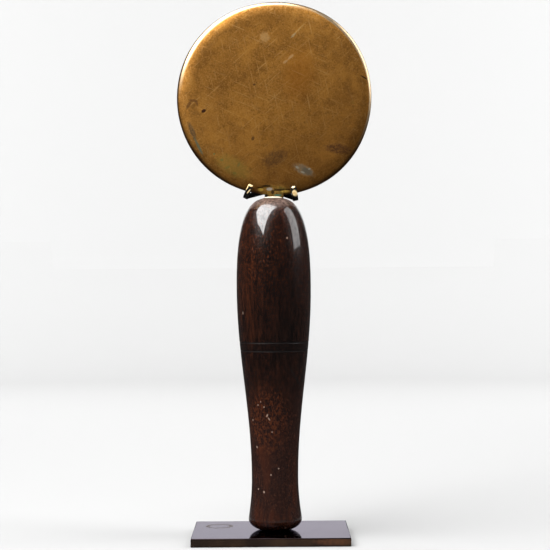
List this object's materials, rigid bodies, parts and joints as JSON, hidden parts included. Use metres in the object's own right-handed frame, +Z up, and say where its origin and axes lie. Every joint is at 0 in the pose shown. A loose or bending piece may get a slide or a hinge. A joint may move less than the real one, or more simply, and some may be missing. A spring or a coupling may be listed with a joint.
{
  "type": "bronze hand mirror on a display stand",
  "caption": "Round polished bronze mirror disc set in a turned hardwood club handle, standing upright on a dark metal plate with a hooked rear support bracket.",
  "frame": {"origin": "centre of the stand plate's underside", "axes": "+Z up along the handle, -Y out of the disc's polished face, +X to the right seen from the front"},
  "size_m": [0.1156, 0.07, 0.3179],
  "materials": {
    "stand_plate_bronze": "dark patinated bronze, polished",
    "bracket_black": "black paint worn to bare brass on the finger fronts",
    "handle_wood": "dark waxed hardwood, handled to a gloss",
    "mirror_bronze": "tarnished golden bronze, satin, with small stains"
  },
  "bodies": {
    "root": {"stand_plate": "stand_plate_bronze", "stand_bracket": "bracket_black", "handle": "handle_wood", "mirror_disc": "mirror_bronze"}
  },
  "joints": []
}
